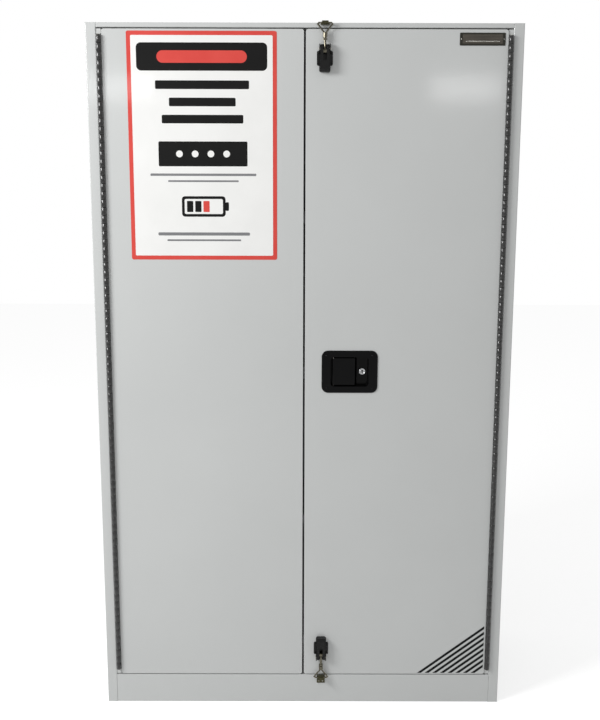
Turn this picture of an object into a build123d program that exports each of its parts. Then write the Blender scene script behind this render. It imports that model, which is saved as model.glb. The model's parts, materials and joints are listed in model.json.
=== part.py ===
from build123d import *
from math import radians, sin
import os

os.makedirs("parts", exist_ok=True)

# Two-door fire-resistant battery cabinet. Millimetres; +X right, +Y to the back, +Z up.
# The origin is the centre of the cabinet's footprint, on the floor.

# ---- Cabinet body ----
cabinet_width = 1095
cabinet_height = 1830
cabinet_depth = 460
outer_sheet = 1.5
bend_radius = 1.8
stile_width = 27
rail_height = 12
sill_height = 82
wall_depth = 50
inner_floor_rise = 30
inner_top_drop = 36

# ---- Doors ----
door_thickness = 50
door_sheet = 1.5
door_corner_radius = 6
hinge_side_gap = 13
door_end_gap = 3
meeting_gap = 5
seal_room = 4
seal_width = 9
seal_height = 3.5
meeting_seal_thickness = 1.2
meeting_seal_depth = 30

# ---- Continuous hinges ----
barrel_radius = 6
barrel_sides = 10
barrel_forward = 4
leaf_sheet = 1.5
leaf_depth = 38
leaf_start = 0.5
hinge_margin = 15
knuckle_count = 84
knuckle_gap = 0.5
hinge_pin_radius = 2.5
hinge_bore_clearance = 0.06
hinge_pin_head_radius = 4.4
hinge_pin_head_height = 1.6
hinge_pin_head_draft = 20

# ---- Shelves, tray and fittings inside ----
liner_sheet = 1.5
shelf_count = 3
shelf_sheet = 1.5
shelf_skirt = 32
shelf_side_gap = 17
shelf_end_gap = 12
shelf_corner_radius = 5
slot_length = 96
slot_width = 12
slots_across = 6
slots_deep = 3
rail_ledge = 26
tray_height = 55
tray_side_gap = 10
strip_length = 620
strip_height = 46
strip_thickness = 26
socket_count = 4
socket_size = 38
socket_depth = 6
socket_pitch = 120
strip_below_shelf = 60

# ---- Ports in the back wall ----
vent_bore_radius = 25
vent_wall = 3
vent_flange_radius = 38
vent_flange_thickness = 4
vent_inset = 130
vent_end_inset = 150
plug_clearance = 0.3
plug_head_radius = 31
plug_head_height = 10
gland_bore_radius = 8
gland_wall = 3
gland_flange_radius = 17
gland_flange_thickness = 6
gland_inset = 110
gland_height = 300
earth_stud_radius = 4
earth_stud_length = 22
earth_boss_radius = 9
earth_boss_height = 4
earth_stud_height = 60

# ---- Toggle latches ----
latch_x = 50
top_bar_below_top = 1.5
bottom_bar_below_sill = 3
bar_from_latch = 84
base_length = 68
base_width = 28
base_sheet = 2
base_corner = 5.6
ear_corner = 4
cheek_foot = 4
cheek_bevel = 3
ear_span = 40
ear_length = 36
pivot_from_centre = 22
pivot_height = 12
cheek_sheet = 2
lever_play = 0.5
lever_wall = 2
lever_tail = 34
lever_head_radius = 8.5
lever_floor_gap = 2
tail_bevel = 6
tail_foot = 9
lever_slot_width = 8.4
slot_below_pivot = 28
throw_radius = 6
over_centre = 1.5
pivot_stud_radius = 2.5
stud_head_over = 1.5
stud_head_height = 1.2
draw_pin_radius = 2
pin_clearance = 0.06
draw_hub_radius = 5
draw_hub_width = 12
draw_rod_radius = 3
ferrule_radius = 5.5
ferrule_start = 49
ferrule_length = 11
bail_wire_radius = 2
bail_wire_sides = 10
bail_half_width = 18.5
bail_corner = 3
bar_height = 10
keeper_width = 22
keeper_hook_width = 16
keeper_sheet = 2.5
keeper_play = 0.4
keeper_hook_angle = 75
keeper_flange = 24

# ---- Paddle lock ----
lock_x = 121
lock_z = 947
bezel_width = 148
bezel_height = 113.5
bezel_radius = 17
bezel_thickness = 3
bezel_chamfer = 1.6
bowl_width = 100.5
bowl_height = 79
bowl_radius = 9
bowl_depth = 24
bowl_sheet = 1.5
bowl_draft = 5
paddle_width = 56
paddle_margin = 2
paddle_sheet = 2.5
paddle_lip = 9
paddle_lip_angle = 35
paddle_hinge_inset = 7
paddle_hinge_depth = 3.5
paddle_knuckle_radius = 3
paddle_pin_radius = 1.6
paddle_pin_overhang = 1.2
key_x = 154.5
key_ring_radius = 8.3
key_plug_radius = 6
key_plug_clearance = 0.06
key_front_inset = 5
key_slot_width = 1.8
key_slot_length = 7
case_width = 112
case_height = 88
case_thickness = 18
rod_radius = 5
rod_chamfer = 1.5
rod_clearance = 0.08
rod_throw = 11
rod_in_case = 16
rod_spare_bore = 20
guide_radius = 9
guide_length = 24
strike_length = 46
strike_width = 26
strike_sheet = 1.2
strike_clearance = 1
channel_clearance = 2

# ---- Worked-out places ----
half_width = cabinet_width / 2
front = -cabinet_depth / 2
back = cabinet_depth / 2
opening_half = half_width - stile_width
opening_top = cabinet_height - rail_height
opening_bottom = sill_height
door_bottom = opening_bottom + door_end_gap
door_top = opening_top - door_end_gap
door_height = door_top - door_bottom
door_outer = opening_half - hinge_side_gap
door_inner = meeting_gap / 2
door_width = door_outer - door_inner
door_middle_x = (door_outer + door_inner) / 2
door_middle_z = (door_top + door_bottom) / 2
rebate = front + door_thickness + seal_room
liner_half = half_width - wall_depth
liner_back = back - wall_depth
liner_top = opening_top - inner_top_drop
liner_floor = opening_bottom + inner_floor_rise
rebate_margin = 1.5
hinge_x = opening_half - hinge_side_gap / 2
hinge_y = front - barrel_forward
hinge_bottom = door_bottom + hinge_margin
hinge_top = door_top - hinge_margin
knuckle_pitch = (hinge_top - hinge_bottom) / knuckle_count


def save(piece, name):
    """Label a finished piece and write it to its own file."""
    piece.label = name
    export_step(piece, f"parts/{name}.step")


def folded(points, sheet):
    """Sketch of a sheet's edge, bent along a line of points that runs mid-sheet."""
    with BuildSketch() as edge:
        with BuildLine() as bend:
            FilletPolyline(*points, radius=bend_radius)
        trace(bend.line, line_width=sheet)
    return edge.sketch


def mirrored_x(piece):
    """The same piece on the other side of the cabinet."""
    return mirror(piece, about=Plane.YZ, mode=Mode.PRIVATE)


# ---- Outer shell ----
half_sheet = outer_sheet / 2
stile_mid = half_width - half_sheet
return_mid = opening_half + half_sheet
shell_bottom = outer_sheet
shell_top = cabinet_height - outer_sheet

# A side wall is one sheet: side, front stile and the return that lines the door opening.
side_line = [
    (stile_mid, back - outer_sheet),
    (stile_mid, front + half_sheet),
    (return_mid, front + half_sheet),
    (return_mid, rebate - half_sheet),
]
with BuildPart() as side_wall:
    with BuildSketch(Plane.XY.offset(shell_bottom)):
        add(folded(side_line, outer_sheet))
    extrude(amount=shell_top - shell_bottom)
save(side_wall.part, "side_wall_right")
save(mirrored_x(side_wall.part), "side_wall_left")

rod_y = front + bowl_depth + case_thickness / 2
rod_hole_radius = rod_radius + strike_clearance

# The top wall folds down into the rail over the doors.
top_line = [
    (back, cabinet_height - half_sheet),
    (front + half_sheet, cabinet_height - half_sheet),
    (front + half_sheet, opening_top + half_sheet),
    (rebate - half_sheet, opening_top + half_sheet),
]
with BuildPart() as top_wall:
    with BuildSketch(Plane.YZ):
        add(folded(top_line, outer_sheet))
    extrude(amount=opening_half, both=True)
    with BuildSketch(Plane.XY.offset(shell_top)):
        for side in (-1, 1):
            with Locations((side * (opening_half + half_width) / 2, 0)):
                Rectangle(stile_width, cabinet_depth)
    extrude(amount=outer_sheet)
    with BuildSketch(Plane.XY.offset(opening_top)):
        with Locations((lock_x, rod_y)):
            Circle(rod_hole_radius)
    extrude(amount=outer_sheet, mode=Mode.SUBTRACT)
save(top_wall.part, "top_wall")

# The base folds up into the sill under the doors.
base_line = [
    (back, half_sheet),
    (front + half_sheet, half_sheet),
    (front + half_sheet, opening_bottom - half_sheet),
    (rebate - half_sheet, opening_bottom - half_sheet),
]
with BuildPart() as base_wall:
    with BuildSketch(Plane.YZ):
        add(folded(base_line, outer_sheet))
    extrude(amount=opening_half, both=True)
    with BuildSketch(Plane.XY):
        for side in (-1, 1):
            with Locations((side * (opening_half + half_width) / 2, 0)):
                Rectangle(stile_width, cabinet_depth)
    extrude(amount=outer_sheet)
    with BuildSketch(Plane.XY.offset(opening_bottom - outer_sheet)):
        with Locations((lock_x, rod_y)):
            Circle(rod_hole_radius)
    extrude(amount=outer_sheet, mode=Mode.SUBTRACT)
save(base_wall.part, "base_wall")

# Ports through the back wall: two vents and one cable entry, seen along +Y.
vent_x = half_width - vent_inset
vent_spots = [
    (vent_x, cabinet_height - vent_end_inset),
    (vent_x, liner_floor + vent_end_inset),
]
gland_spot = (-half_width + gland_inset, gland_height)
bush_radius = vent_bore_radius + vent_wall
gland_radius = gland_bore_radius + gland_wall


def port_holes(vent_radius, cable_radius):
    """Sketch of the back wall's round holes, in a plane that looks along +Y."""
    with BuildSketch() as holes:
        with Locations(*vent_spots):
            Circle(vent_radius)
        with Locations(gland_spot):
            Circle(cable_radius)
    return holes.sketch


back_plane = Plane(origin=(0, back, 0), x_dir=(1, 0, 0), z_dir=(0, -1, 0))
back_middle = (shell_top + shell_bottom) / 2
with BuildPart() as back_panel:
    with BuildSketch(back_plane):
        with Locations((0, back_middle)):
            Rectangle(cabinet_width, shell_top - shell_bottom)
        add(port_holes(bush_radius, gland_radius), mode=Mode.SUBTRACT)
    extrude(amount=outer_sheet)
save(back_panel.part, "back_panel")

# ---- Inner liner ----
half_liner = liner_sheet / 2
side_liner_line = [
    (opening_half - rebate_margin, rebate + half_liner),
    (liner_half + half_liner, rebate + half_liner),
    (liner_half + half_liner, liner_back),
]
with BuildPart() as liner_side:
    with BuildSketch(Plane.XY.offset(opening_bottom + rebate_margin)):
        add(folded(side_liner_line, liner_sheet))
    extrude(amount=opening_top - opening_bottom - 2 * rebate_margin)
save(liner_side.part, "liner_right")
save(mirrored_x(liner_side.part), "liner_left")

with BuildPart() as liner_roof:
    with BuildSketch(Plane.YZ):
        add(
            folded(
                [
                    (rebate + half_liner, opening_top - rebate_margin),
                    (rebate + half_liner, liner_top + half_liner),
                    (liner_back, liner_top + half_liner),
                ],
                liner_sheet,
            )
        )
    extrude(amount=liner_half, both=True)
save(liner_roof.part, "liner_top")

with BuildPart() as liner_base:
    with BuildSketch(Plane.YZ):
        add(
            folded(
                [
                    (rebate + half_liner, opening_bottom + rebate_margin),
                    (rebate + half_liner, liner_floor - half_liner),
                    (liner_back, liner_floor - half_liner),
                ],
                liner_sheet,
            )
        )
    extrude(amount=liner_half, both=True)
save(liner_base.part, "liner_floor")

liner_plane = Plane(origin=(0, liner_back, 0), x_dir=(1, 0, 0), z_dir=(0, -1, 0))
liner_face = liner_half + liner_sheet
with BuildPart() as liner_rear:
    with BuildSketch(liner_plane):
        with Locations((0, (opening_top + opening_bottom) / 2)):
            Rectangle(2 * liner_face, opening_top - opening_bottom - 2 * rebate_margin)
        add(port_holes(bush_radius, gland_radius), mode=Mode.SUBTRACT)
    extrude(amount=-liner_sheet)
save(liner_rear.part, "liner_back")

# Fire board fills the walls between the shell and the liner.
board_front = rebate + liner_sheet + bend_radius
board_back = back - outer_sheet
with BuildPart() as wall_insulation:
    with BuildSketch(Plane.XY.offset(shell_bottom)):
        for side in (-1, 1):
            with Locations(
                (side * (liner_face + half_width - outer_sheet) / 2, (board_front + board_back) / 2)
            ):
                Rectangle(half_width - outer_sheet - liner_face, board_back - board_front)
    extrude(amount=shell_top - shell_bottom)
    with BuildSketch(Plane.YZ):
        with Locations(((board_front + liner_back) / 2, (shell_top + liner_top + liner_sheet) / 2)):
            Rectangle(liner_back - board_front, shell_top - liner_top - liner_sheet)
        with Locations(
            ((board_front + liner_back) / 2, (shell_bottom + liner_floor - liner_sheet) / 2)
        ):
            Rectangle(liner_back - board_front, liner_floor - liner_sheet - shell_bottom)
    extrude(amount=liner_half, both=True)
with BuildPart() as back_insulation:
    with BuildSketch(back_plane.offset(outer_sheet)):
        with Locations((0, back_middle)):
            Rectangle(2 * liner_face, shell_top - shell_bottom)
        add(port_holes(bush_radius, gland_radius), mode=Mode.SUBTRACT)
    extrude(amount=wall_depth - outer_sheet - liner_sheet)
save(wall_insulation.part, "wall_insulation")
save(back_insulation.part, "back_insulation")

# The seal runs round the opening, on the liner's front flange.
seal_half = (liner_half + door_outer) / 2
seal_top = (liner_top + door_top) / 2
seal_bottom = (liner_floor + door_bottom) / 2
with BuildPart() as door_seal:
    with BuildSketch(Plane(origin=(0, rebate, 0), x_dir=(1, 0, 0), z_dir=(0, -1, 0))):
        with Locations((0, (seal_top + seal_bottom) / 2)):
            Rectangle(2 * seal_half + seal_width, seal_top - seal_bottom + seal_width)
            Rectangle(
                2 * seal_half - seal_width, seal_top - seal_bottom - seal_width, mode=Mode.SUBTRACT
            )
    extrude(amount=seal_height)
save(door_seal.part, "door_seal")

# ---- Spill tray, shelves and their ledges ----
inner_depth = liner_back - rebate
inner_middle_y = (liner_back + rebate) / 2
with BuildPart() as sump_tray:
    with BuildSketch(Plane.XY.offset(liner_floor)):
        with Locations((0, inner_middle_y)):
            RectangleRounded(
                2 * (liner_half - tray_side_gap), inner_depth - 2 * tray_side_gap, shelf_corner_radius
            )
    extrude(amount=tray_height)
    offset(amount=-shelf_sheet, openings=sump_tray.faces().sort_by(Axis.Z)[-1])
save(sump_tray.part, "sump_tray")

shelf_pitch = (liner_top - liner_floor) / (shelf_count + 1)
shelf_heights = [liner_floor + shelf_pitch * (row + 1) for row in range(shelf_count)]
shelf_half = liner_half - shelf_side_gap
shelf_depth = inner_depth - 2 * shelf_end_gap
slot_pitch_x = (2 * shelf_half - shelf_end_gap) / slots_across
slot_pitch_y = shelf_depth / (slots_deep + 1)
for name, height in zip(("lower", "middle", "upper"), shelf_heights):
    with BuildPart() as shelf:
        with BuildSketch(Plane.XY.offset(height - shelf_skirt)):
            with Locations((0, inner_middle_y)):
                RectangleRounded(2 * shelf_half, shelf_depth, shelf_corner_radius)
        extrude(amount=shelf_skirt)
        offset(amount=-shelf_sheet, openings=shelf.faces().sort_by(Axis.Z)[0])
        with BuildSketch(Plane.XY.offset(height)):
            with Locations((0, inner_middle_y)):
                with GridLocations(slot_pitch_x, slot_pitch_y, slots_across, slots_deep):
                    Rectangle(slot_length, slot_width)
        extrude(amount=-shelf_sheet, mode=Mode.SUBTRACT)
    save(shelf.part, f"shelf_{name}")

with BuildPart() as shelf_ledges:
    for height in shelf_heights:
        ledge_top = height - shelf_skirt
        ledge_line = [
            (liner_half - half_liner, ledge_top - rail_ledge),
            (liner_half - half_liner, ledge_top - half_liner),
            (liner_half - rail_ledge, ledge_top - half_liner),
        ]
        plane = Plane(
            origin=(0, inner_middle_y + shelf_depth / 2, 0), x_dir=(1, 0, 0), z_dir=(0, -1, 0)
        )
        with BuildSketch(plane):
            add(folded(ledge_line, liner_sheet))
        extrude(amount=shelf_depth)
    mirror(about=Plane.YZ)
save(shelf_ledges.part, "shelf_ledges")

# A row of sockets under each shelf, on the rear liner.
with BuildPart() as power_strips:
    with BuildSketch(liner_plane):
        for height in shelf_heights:
            with Locations((0, height - strip_below_shelf - strip_height / 2)):
                RectangleRounded(strip_length, strip_height, shelf_corner_radius)
    extrude(amount=strip_thickness)
    with BuildSketch(liner_plane.offset(strip_thickness)):
        for height in shelf_heights:
            with Locations((0, height - strip_below_shelf - strip_height / 2)):
                with GridLocations(socket_pitch, 0, socket_count, 1):
                    Rectangle(socket_size, socket_size)
    extrude(amount=-socket_depth, mode=Mode.SUBTRACT)
save(power_strips.part, "power_strips")

# ---- Vent bushes and plugs, cable entry, earth stud ----
bush_front = liner_back - liner_sheet
bush_length = back - bush_front
with BuildPart() as vent_bushes:
    with BuildSketch(Plane(origin=(0, back, 0), x_dir=(1, 0, 0), z_dir=(0, 1, 0))):
        with Locations(*[(x, -z) for x, z in vent_spots]):
            Circle(vent_flange_radius)
    extrude(amount=vent_flange_thickness)
    with BuildSketch(back_plane):
        with Locations(*vent_spots):
            Circle(bush_radius)
    extrude(amount=bush_length)
    with BuildSketch(back_plane.offset(-vent_flange_thickness)):
        with Locations(*vent_spots):
            Circle(vent_bore_radius)
    extrude(amount=bush_length + vent_flange_thickness, mode=Mode.SUBTRACT)
save(vent_bushes.part, "vent_bushes")

with BuildPart() as vent_plugs:
    with BuildSketch(back_plane.offset(-vent_flange_thickness)):
        with Locations(*vent_spots):
            Circle(vent_bore_radius - plug_clearance)
    extrude(amount=wall_depth / 2)
    with BuildSketch(back_plane.offset(-vent_flange_thickness - plug_head_height)):
        with Locations(*vent_spots):
            RegularPolygon(plug_head_radius, 6)
    extrude(amount=plug_head_height)
save(vent_plugs.part, "vent_plugs")

with BuildPart() as cable_gland:
    with BuildSketch(back_plane.offset(-gland_flange_thickness)):
        with Locations(gland_spot):
            RegularPolygon(gland_flange_radius, 6)
    extrude(amount=gland_flange_thickness)
    with BuildSketch(back_plane):
        with Locations(gland_spot):
            Circle(gland_radius)
    extrude(amount=bush_length)
    with BuildSketch(back_plane.offset(-gland_flange_thickness)):
        with Locations(gland_spot):
            Circle(gland_bore_radius)
    extrude(amount=bush_length + gland_flange_thickness, mode=Mode.SUBTRACT)
save(cable_gland.part, "cable_gland")

with BuildPart() as earth_stud:
    with BuildSketch(back_plane.offset(-earth_boss_height)):
        with Locations((gland_spot[0], earth_stud_height)):
            RegularPolygon(earth_boss_radius, 6)
    extrude(amount=earth_boss_height)
    with BuildSketch(back_plane.offset(-earth_boss_height)):
        with Locations((gland_spot[0], earth_stud_height)):
            Circle(earth_stud_radius)
    extrude(amount=-earth_stud_length)
save(earth_stud.part, "earth_stud")

# ---- Continuous hinges ----
def hinge_leaf(wall_x, reach, first):
    """One leaf of the right-hand hinge: a strip and every second knuckle of the barrel."""
    strip_middle = wall_x + reach * leaf_sheet / 2
    starts = [hinge_bottom + knuckle_pitch * n for n in range(first, knuckle_count, 2)]
    with BuildPart() as leaf:
        with BuildSketch(Plane.XY.offset(hinge_bottom)):
            with Locations((strip_middle, front + (leaf_start + leaf_depth) / 2)):
                Rectangle(leaf_sheet, leaf_depth - leaf_start)
        extrude(amount=hinge_top - hinge_bottom)
        with BuildSketch(*[Plane.XY.offset(z + knuckle_gap / 2) for z in starts]):
            with Locations((hinge_x, hinge_y)):
                RegularPolygon(barrel_radius, barrel_sides)
            tongue_inner = hinge_x - reach * (barrel_radius - leaf_sheet * 2)
            tongue = abs(wall_x - tongue_inner)
            with Locations(((wall_x + tongue_inner) / 2, (hinge_y + front + leaf_start) / 2)):
                Rectangle(tongue, barrel_forward + leaf_start)
        extrude(amount=knuckle_pitch - knuckle_gap)
        for end, inward in ((hinge_bottom, 1), (hinge_top, -1)):
            with BuildSketch(Plane.XY.offset(end)):
                with Locations((hinge_x, hinge_y)):
                    Circle(hinge_pin_radius + hinge_bore_clearance)
            extrude(amount=inward * 2 * knuckle_pitch, mode=Mode.SUBTRACT)
    return leaf.part


frame_leaf = hinge_leaf(opening_half, -1, 0)
door_leaf = hinge_leaf(door_outer, 1, 1)
save(frame_leaf, "frame_leaf_right")
save(mirrored_x(frame_leaf), "frame_leaf_left")
save(door_leaf, "door_leaf_right")
save(mirrored_x(door_leaf), "door_leaf_left")

# A headed pin enters the barrel at each end.
with BuildPart() as hinge_pins:
    for end, inward in ((hinge_bottom, 1), (hinge_top, -1)):
        with BuildSketch(Plane.XY.offset(end)):
            with Locations((hinge_x, hinge_y)):
                Circle(hinge_pin_radius)
        extrude(amount=inward * (2 * knuckle_pitch - knuckle_gap))
        with BuildSketch(Plane.XY.offset(end)):
            with Locations((hinge_x, hinge_y)):
                Circle(hinge_pin_head_radius)
        extrude(amount=-inward * hinge_pin_head_height, taper=hinge_pin_head_draft)
save(hinge_pins.part, "hinge_pins_right")
save(mirrored_x(hinge_pins.part), "hinge_pins_left")

# ---- Doors ----
front_plane = Plane(origin=(0, front, 0), x_dir=(1, 0, 0), z_dir=(0, -1, 0))
lock_spot = (lock_x, lock_z)
bowl_outer_width = bowl_width + 2 * bowl_sheet
bowl_outer_height = bowl_height + 2 * bowl_sheet


def door_outline(inset):
    """Sketch of the right-hand door seen from the front, drawn in by an inset."""
    with BuildSketch() as outline:
        with Locations((door_middle_x, door_middle_z)):
            RectangleRounded(
                door_width - 2 * inset, door_height - 2 * inset, door_corner_radius - inset / 2
            )
    return outline.sketch


def door_skin(locked):
    """Front pan of a door: the face and four returns, open to the back."""
    with BuildPart() as skin:
        with BuildSketch(front_plane):
            add(door_outline(0))
        extrude(amount=-(door_thickness - door_sheet))
        offset(amount=-door_sheet, openings=skin.faces().sort_by(Axis.Y)[-1])
        if locked:
            with BuildSketch(front_plane):
                with Locations(lock_spot):
                    RectangleRounded(bowl_outer_width, bowl_outer_height, bowl_radius)
            extrude(amount=-door_sheet, mode=Mode.SUBTRACT)
            with BuildSketch(Plane.XY.offset(door_bottom)):
                with Locations((lock_x, rod_y)):
                    Circle(guide_radius)
            extrude(amount=door_height, mode=Mode.SUBTRACT)
    return skin.part


def door_board(locked):
    """Fire board inside a door, with a pocket for the lock and a channel for its rods."""
    with BuildPart() as board:
        with BuildSketch(front_plane.offset(-door_sheet)):
            add(door_outline(door_sheet))
        extrude(amount=-(door_thickness - 2 * door_sheet))
        if locked:
            with BuildSketch(front_plane.offset(-door_sheet)):
                with Locations(lock_spot):
                    Rectangle(
                        max(bowl_outer_width, case_width) + 2 * channel_clearance,
                        max(bowl_outer_height, case_height) + 2 * channel_clearance,
                    )
            extrude(
                amount=-(bowl_depth + case_thickness + channel_clearance), mode=Mode.SUBTRACT
            )
            with BuildSketch(Plane.XY.offset(door_bottom)):
                with Locations((lock_x, rod_y)):
                    Rectangle(
                        2 * (guide_radius + channel_clearance), 2 * (guide_radius + channel_clearance)
                    )
            extrude(amount=door_height, mode=Mode.SUBTRACT)
    return board.part


with BuildPart() as door_back:
    with BuildSketch(front_plane.offset(-(door_thickness - door_sheet))):
        add(door_outline(0))
    extrude(amount=-door_sheet)
save(door_back.part, "door_liner_right")
save(mirrored_x(door_back.part), "door_liner_left")
save(door_skin(True), "door_skin_right")
save(mirrored_x(door_skin(False)), "door_skin_left")
save(door_board(True), "door_insulation_right")
save(mirrored_x(door_board(False)), "door_insulation_left")

# Heat-swelling strip on the left door's meeting edge.
with BuildPart() as meeting_seal:
    with BuildSketch(Plane.XY.offset(door_bottom + door_corner_radius)):
        with Locations((-door_inner + meeting_seal_thickness / 2, front + door_thickness / 2)):
            Rectangle(meeting_seal_thickness, meeting_seal_depth)
    extrude(amount=door_height - 2 * door_corner_radius)
save(meeting_seal.part, "meeting_seal")

# ---- Paddle lock ----
bowl_floor = front + bowl_depth
with BuildPart() as lock_bowl:
    with BuildSketch(front_plane):
        with Locations(lock_spot):
            RectangleRounded(bezel_width, bezel_height, bezel_radius)
    extrude(amount=bezel_thickness)
    chamfer(lock_bowl.faces().sort_by(Axis.Y)[0].edges(), length=bezel_chamfer)
    with BuildSketch(front_plane):
        with Locations(lock_spot):
            RectangleRounded(bowl_outer_width, bowl_outer_height, bowl_radius)
    extrude(amount=-bowl_depth, taper=bowl_draft)
    with BuildSketch(front_plane.offset(bezel_thickness)):
        with Locations(lock_spot):
            RectangleRounded(bowl_width, bowl_height, bowl_radius)
    extrude(
        amount=-(bowl_depth + bezel_thickness - bowl_sheet), taper=bowl_draft, mode=Mode.SUBTRACT
    )
    with BuildSketch(front_plane.offset(-bowl_depth)):
        with Locations((key_x, lock_z)):
            Circle(key_ring_radius)
    extrude(amount=bowl_sheet, mode=Mode.SUBTRACT)
save(lock_bowl.part, "lock_bowl")

# The paddle is a plate with a finger lip, hung on a pin down the bowl's left side.
paddle_left = lock_x - bowl_width / 2 + paddle_hinge_inset
paddle_y = front + paddle_hinge_depth
paddle_height = bowl_height - 2 * paddle_margin - 2 * bowl_sheet
paddle_line = [
    (paddle_left, paddle_y - paddle_knuckle_radius + paddle_sheet / 2),
    (paddle_left + paddle_width, paddle_y - paddle_knuckle_radius + paddle_sheet / 2),
    (
        paddle_left + paddle_width + paddle_lip * sin(radians(paddle_lip_angle)),
        paddle_y - paddle_knuckle_radius + paddle_lip,
    ),
]
with BuildPart() as paddle:
    with BuildSketch(Plane.XY.offset(lock_z - paddle_height / 2)):
        add(folded(paddle_line, paddle_sheet))
        with Locations((paddle_left, paddle_y)):
            Circle(paddle_knuckle_radius)
            Circle(paddle_pin_radius + pin_clearance, mode=Mode.SUBTRACT)
    extrude(amount=paddle_height)
save(paddle.part, "paddle")

with BuildPart() as paddle_pin:
    with BuildSketch(Plane.XY.offset(lock_z - paddle_height / 2 - paddle_pin_overhang)):
        with Locations((paddle_left, paddle_y)):
            Circle(paddle_pin_radius)
    extrude(amount=paddle_height + 2 * paddle_pin_overhang)
save(paddle_pin.part, "paddle_pin")

key_front = front + key_front_inset
key_plane = Plane(origin=(0, key_front, 0), x_dir=(1, 0, 0), z_dir=(0, -1, 0))
barrel_length = bowl_floor - key_front
with BuildPart() as lock_barrel:
    with BuildSketch(key_plane):
        with Locations((key_x, lock_z)):
            Circle(key_ring_radius)
            Circle(key_plug_radius + key_plug_clearance, mode=Mode.SUBTRACT)
    extrude(amount=-barrel_length)
save(lock_barrel.part, "lock_barrel")

with BuildPart() as key_plug:
    with BuildSketch(key_plane):
        with Locations((key_x, lock_z)):
            Circle(key_plug_radius)
    extrude(amount=-barrel_length)
    with BuildSketch(key_plane):
        with Locations((key_x, lock_z)):
            Rectangle(key_slot_width, key_slot_length)
    extrude(amount=-barrel_length / 2, mode=Mode.SUBTRACT)
save(key_plug.part, "key_plug")

# The closed case behind the bowl takes the ends of the two rods.
case_top = lock_z + case_height / 2
case_bottom = lock_z - case_height / 2
with BuildPart() as lock_case:
    with BuildSketch(front_plane.offset(-bowl_depth)):
        with Locations(lock_spot):
            RectangleRounded(case_width, case_height, bowl_radius)
    extrude(amount=-case_thickness)
    for end, inward in ((case_top, -1), (case_bottom, 1)):
        with BuildSketch(Plane.XY.offset(end)):
            with Locations((lock_x, rod_y)):
                Circle(rod_radius + rod_clearance)
        extrude(amount=inward * (rod_in_case + rod_spare_bore), mode=Mode.SUBTRACT)
save(lock_case.part, "lock_case")

for name, near, far in (
    ("lock_rod_top", case_top - rod_in_case, door_top + rod_throw),
    ("lock_rod_bottom", case_bottom + rod_in_case, door_bottom - rod_throw),
):
    with BuildPart() as lock_rod:
        with BuildSketch(Plane.XY.offset(near)):
            with Locations((lock_x, rod_y)):
                Circle(rod_radius)
        extrude(amount=far - near)
        end_face = lock_rod.faces().sort_by(Axis.Z)[-1 if far > near else 0]
        chamfer(end_face.edges(), length=rod_chamfer)
    save(lock_rod.part, name)

with BuildPart() as rod_guides:
    for end, inward in ((door_top, -1), (door_bottom, 1)):
        with BuildSketch(Plane.XY.offset(end)):
            with Locations((lock_x, rod_y)):
                Circle(guide_radius)
                Circle(rod_radius + rod_clearance, mode=Mode.SUBTRACT)
        extrude(amount=inward * guide_length)
save(rod_guides.part, "rod_guides")

with BuildPart() as strike_plates:
    for end, inward in ((opening_top, -1), (opening_bottom, 1)):
        with BuildSketch(Plane.XY.offset(end)):
            with Locations((lock_x, rod_y)):
                RectangleRounded(strike_length, strike_width, rod_radius)
                Circle(rod_hole_radius, mode=Mode.SUBTRACT)
        extrude(amount=inward * strike_sheet)
save(strike_plates.part, "strike_plates")

# ---- Toggle latches ----
# Drawn at the origin: X across, -Y out of the door, +Z towards the keeper.
bar_top = cabinet_height - top_bar_below_top
bar_bottom = sill_height - bottom_bar_below_sill
latch_places = {
    "top": Location((latch_x, front, bar_top - bar_from_latch)),
    "bottom": Location((latch_x, front, bar_bottom + bar_from_latch), (0, 180, 0)),
}
pivot = (-pivot_height, pivot_from_centre)
draw_pin = (-pivot_height + over_centre, pivot_from_centre - throw_radius)
bar = (-bar_height, bar_from_latch)
cheek_inner = base_width / 2 - cheek_sheet
lever_half = cheek_inner - lever_play
lever_inner = lever_half - lever_wall
lever_outer_y = -pivot_height - lever_head_radius

with BuildPart() as latch_base:
    with BuildSketch(Plane.XZ):
        RectangleRounded(base_width, base_length, base_corner)
        RectangleRounded(ear_span, ear_length, ear_corner)
    extrude(amount=base_sheet)
    with BuildSketch(Plane.YZ.offset(cheek_inner)):
        with BuildLine():
            Polyline(
                (-base_sheet, pivot_from_centre - lever_head_radius - cheek_foot),
                (-base_sheet, base_length / 2),
                (-pivot_height, base_length / 2),
                (lever_outer_y + cheek_bevel, pivot_from_centre + cheek_bevel),
                (lever_outer_y + cheek_bevel, pivot_from_centre - cheek_bevel),
                (-base_sheet, pivot_from_centre - lever_head_radius - cheek_foot),
            )
        make_face()
    extrude(amount=cheek_sheet)
    mirror(about=Plane.YZ)

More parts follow.
